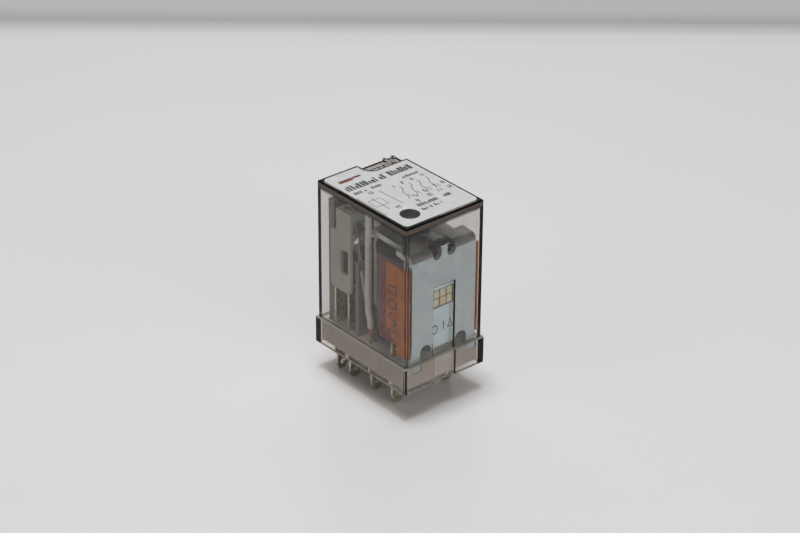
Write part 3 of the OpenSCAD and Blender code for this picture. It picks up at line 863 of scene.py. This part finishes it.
def sleeve(i):
    """Woven sleeving with open ends around a lead."""
    path = lead_line(i, 0, 0.9)
    fr = frames(path)
    sides, verts, faces = 28, [], []
    n = len(path)
    length = 0.0

    def ring(p, f, r, wave):
        for k in range(sides):
            a = 2 * math.pi * k / sides
            weave = math.sin(wave * 7.5 + 4 * a) * math.sin(wave * 7.5 - 4 * a)
            out = r + 0.018 * weave
            verts.append(p + out * (math.cos(a) * f[0] + math.sin(a) * f[1]))

    rows = 0
    for j in range(n):
        if j:
            length += np.linalg.norm(path[j] - path[j - 1])
        sag = 0.02 * noise.noise(Vector((length * 0.35, i * 3.7, 0.5)))
        end = min(j, n - 1 - j)
        ring(path[j], fr[j], SLEEVE_R - 0.035 + sag - (0.03 if end == 0 else 0), length)
        rows += 1
    for j in (n - 1, n - 3, 2, 0):
        ring(path[j], fr[j], 0.44, 0)
        rows += 1
    for j in range(rows):
        nxt = (j + 1) % rows
        for k in range(sides):
            k2 = (k + 1) % sides
            faces.append((j * sides + k, j * sides + k2, nxt * sides + k2, nxt * sides + k))
    o = make(f"woven_sleeve_{i}", verts, faces, "lead_sleeving", None, replaces=(f"lead_sleeve_{i}",))
    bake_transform(o)
    return o


def strands(i):
    """Nine twisted strands inside the sleeve, fanned out flat where they meet the blade."""
    full = lead_line(i, 0.6, 3.4)
    fr = frames(full)
    s = Soup()
    n = len(full)
    lo_w, hi_w = box_mm(f"lead_wire_{i}")
    fan_z = lo_w[2] + 2.6
    for k in range(9):
        ring_r, around = (0.115, 3) if k < 4 else (0.235, 5)
        ring_r = ring_r if k else 0.0
        base = 2 * math.pi * k / around
        path, length = [], 0.0
        for j in range(n):
            if j:
                length += np.linalg.norm(full[j] - full[j - 1])
            a = base + length * 1.15
            p = full[j] + ring_r * (math.cos(a) * fr[j][0] + math.sin(a) * fr[j][1])
            if full[j][2] < fan_z and j > n / 2:
                t = smoothstep((fan_z - full[j][2]) / 2.0)
                target = np.array([hi_w[0] - 0.09 - 0.1 * (k % 2), full[j][1] + (k - 4) * 0.29, p[2]])
                p = p * (1 - t) + target * t
            if length < 0.9:
                t = 1 - smoothstep(length / 0.9)
                target = np.array([lo_w[0] + 0.06 + 0.05 * (k % 2), full[0][1] + (k - 4) * 0.13, p[2]])
                p = p * (1 - t) + target * t
            path.append(p)
        s.tube(path[::2] + [path[-1]], 0.085, 7)
    o = s.make(f"braid_{i}", "copper", None, replaces=(f"lead_wire_{i}",))
    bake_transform(o)
    return o


for i in (1, 2, 3, 4):
    sleeve(i)
    strands(i)

# ---------------------------------------------------------------- loose ends of the tape

lo_t, hi_t = box_mm("coil_tape")
_, hi_y = box_mm("yoke")


def tape_end(name, path, z0, z1):
    """A film standing on edge along a plan path, a little wavy along its height."""
    rows, verts, faces = 40, [], []
    p = [np.array(q, float) for q in path]
    n = len(p)
    normals = []
    for i in range(n):
        d = p[min(i + 1, n - 1)] - p[max(i - 1, 0)]
        d /= np.linalg.norm(d)
        normals.append(np.array([-d[1], d[0]]))
    for j in range(rows + 1):
        z = z0 + (z1 - z0) * j / rows
        for side in (0.5, -0.5):
            for i in range(n):
                sway = 0.05 * noise.noise(Vector((z * 0.22, i * 0.2, 1.7 if path[0][1] > 0 else 8.1))) * i / n
                q = p[i] + normals[i] * (0.1 * side + sway)
                verts.append((q[0], q[1], z))
    for j in range(rows):
        a, b = j * 2 * n, (j + 1) * 2 * n
        ring = list(range(n)) + [2 * n - 1 - i for i in range(n)]
        for i in range(2 * n):
            k = (i + 1) % (2 * n)
            faces.append((a + ring[i], a + ring[k], b + ring[k], b + ring[i]))
    ring = list(range(n)) + [2 * n - 1 - i for i in range(n)]
    faces.append(tuple(ring)[::-1])
    faces.append(tuple(rows * 2 * n + i for i in ring))
    return make(name, verts, faces, "coil_tape", "frame")


near_y, far_y, beside_y = lo_t[1], hi_t[1], hi_y[1]
near = smooth_path([
    (9.9, near_y - 0.22), (11.2, near_y - 0.22), (12.1, near_y - 0.14), (12.8, near_y + 0.12),
])
far = smooth_path([
    (9.0, far_y + 0.22), (10.9, far_y + 0.24), (11.9, beside_y + 0.22), (12.5, beside_y + 0.42),
    (12.85, beside_y + 0.62),
])
tape_end("tape_end_near", near, lo_t[2] - 1.5, hi_t[2] - 0.15)
tape_end("tape_end_far", far, lo_t[2] - 1.2, hi_t[2] + 0.9)

# ---------------------------------------------------------------- tape marks and stamped marks

MARK = (0.0, 0.012)
marks = Soup()


def ring_mark(x, y, half_w, half_h):
    """The outline of an upright ring, open for a closed stroke."""
    turn = np.linspace(0, 6.283, 25)[:-1]
    return [(x + half_w * math.cos(t), y + half_h * math.sin(t)) for t in turn]


def on_flank(x, z):
    """Reads upwards on the tape's -Y side."""
    return lambda a, b, c: (x + b, lo_t[1] - c, z + a)


PEN = 0.42
flank = on_flank(6.9, 11.4)
wave = [(1.6 + 2.8 * t, 1.45 + 0.95 * math.sin(6.283 * t)) for t in np.linspace(0, 1, 26)]
marks.ribbon([(0.3, 0.3), (0.3, 2.6)], PEN, flank, *MARK)
marks.ribbon(wave, PEN, flank, *MARK)
marks.ribbon(ring_mark(6.5, 1.45, 1.0, 1.15), PEN, flank, *MARK, closed=True)
marks.ribbon([(8.9, 0.4), (8.9, 2.5), (10.6, 2.5), (10.6, 0.4), (8.9, 0.4)], PEN, flank, *MARK)
marks.make("tape_marks", "ink_brown", "frame", smooth=False)

stamp = Soup()


def on_yoke(a, b, c):
    return (hi_y[0] - 0.004 + c, 0.4 + a, 10.4 + b)


STROKE = 0.26
stamp.ribbon(ring_mark(-2.1, 1.0, 0.62, 0.95), STROKE, on_yoke, *MARK, closed=True)
stamp.ribbon([(0.2, 0.3), (0.2, 2.3)], STROKE, on_yoke, *MARK)
stamp.ribbon([(1.3, 0.5), (1.9, 2.6), (2.5, 0.5), (1.3, 0.5)], STROKE, on_yoke, *MARK)
stamp.make("stamped_marks", "stamp_grey", "frame", smooth=False)

# ---------------------------------------------------------------- stage, light, camera

lo, hi = (np.array(p) for p in CAD_BOX)
centre = (lo + hi) / 2
floor_z = lo[2]

# level directions on the table, and how far the pale part of it reaches past the object, in metres
AWAY = Vector((-0.7636, 0.6457, 0.0))
ACROSS = Vector((0.6457, 0.7636, 0.0))
TABLE_END = 0.181
TABLE_HALF = 2.0


def table_top(mat, cells=40):
    side = [TABLE_HALF * (2 * i / cells - 1) for i in range(cells + 1)]
    pts = [tuple(ACROSS * a + AWAY * b + Vector((0, 0, floor_z))) for b in side for a in side]
    row = cells + 1
    faces = []
    for j in range(cells):
        for i in range(cells):
            k = j * row + i
            faces.append((k, k + 1, k + 1 + row, k + row))
    me = bpy.data.meshes.new("table_top")
    me.from_pydata(pts, [], faces)
    me.polygons.foreach_set("use_smooth", [True] * len(faces))
    me.materials.append(mat)
    o = bpy.data.objects.new("table_top", me)
    bpy.context.scene.collection.objects.link(o)
    return o


def along(nt, direction):
    n = nt.nodes.new("ShaderNodeVectorMath")
    n.operation = "DOT_PRODUCT"
    n.inputs[1].default_value = direction
    nt.links.new(coords(nt), n.inputs[0])
    return n.outputs["Value"]


def table_paint():
    """White, then painted shade where the table ends: a dark band for the gap past its edge and grey beyond
    it.
    """
    m, nt, b = new_material("white_table")
    mottle = noise_out(nt, 9, 3, 0.5)
    place = span(nt, along(nt, AWAY), 0.0, 1.0, TABLE_END - 0.016, TABLE_END + 0.030)
    mix = nt.nodes.new("ShaderNodeMix")
    mix.data_type = "RGBA"
    mix.blend_type = "MULTIPLY"
    mix.inputs["Factor"].default_value = 1.0
    white = [(0.0, (0.745, 0.74, 0.742)), (0.15, (0.71, 0.705, 0.70))]
    # Painted shade past the table's end.
    grey = [(0.35, (0.42, 0.415, 0.405)), (0.52, (0.53, 0.525, 0.515)), (1.0, (0.56, 0.555, 0.545))]
    paint(nt, place, white + grey, mix.inputs[6])
    paint(nt, mottle, [(0.3, (0.975, 0.972, 0.975)), (0.7, (1.0, 1.0, 1.0))], mix.inputs[7])
    nt.links.new(mix.outputs[2], b.inputs["Base Color"])
    nt.links.new(span(nt, noise_out(nt, 60, 3, 0.5), 0.16, 0.22), b.inputs["Roughness"])
    b.inputs["Specular IOR Level"].default_value = 0.35
    return m


table_top(table_paint())

world = bpy.data.worlds.new("studio")
bpy.context.scene.world = world
world.use_nodes = True
bg = world.node_tree.nodes["Background"]
bg.inputs["Color"].default_value = (1.0, 0.99, 0.985, 1)
bg.inputs["Strength"].default_value = 0.075


def area(name, place, size, power):
    """A square light that faces the object; place and size in metres, power in watts."""
    light = bpy.data.lights.new(name, "AREA")
    light.energy = power
    light.size = size
    o = bpy.data.objects.new(name, light)
    bpy.context.scene.collection.objects.link(o)
    o.location = place
    o.rotation_mode = "QUATERNION"
    o.rotation_quaternion = (Vector(centre) - Vector(place)).to_track_quat("-Z", "Y")
    return o


area("softbox_top", (-0.01, -0.022, 0.75), 0.16, 3.95)
area("panel_far", tuple(centre + AWAY * 0.55 + Vector((0, 0, 0.30))), 0.9, 1.1)
area("fill_right", (0.52, -0.08, 0.24), 0.45, 0.75)
area("fill_left", (-0.15, -0.60, 0.30), 0.45, 0.48)

CAMERA_PLACE = (0.34067, -0.29000, 0.27008)
CAMERA_RIGHT = Vector((0.64584, 0.76345, 0.00588))
CAMERA_UP = Vector((-0.37617, 0.3115, 0.87262))
cam_data = bpy.data.cameras.new("camera")
cam_data.lens = 114.75
cam_data.sensor_width = 36.0
cam_data.clip_start = 0.02
cam_data.clip_end = 20.0
cam = bpy.data.objects.new("camera", cam_data)
bpy.context.scene.collection.objects.link(cam)
camera_back = CAMERA_RIGHT.cross(CAMERA_UP).normalized()
turned = Matrix((CAMERA_RIGHT, CAMERA_UP, camera_back)).transposed().to_4x4()
cam.matrix_world = Matrix.Translation(CAMERA_PLACE) @ turned
bpy.context.scene.camera = cam
view = bpy.context.scene.view_settings
view.view_transform = "Standard"
view.look = "None"
view.use_curve_mapping = True
tone = view.curve_mapping.curves[3]
for x, y in ((0.05, 0.028), (0.12, 0.092), (0.25, 0.235), (0.5, 0.5)):
    tone.points.new(x, y)
view.curve_mapping.update()
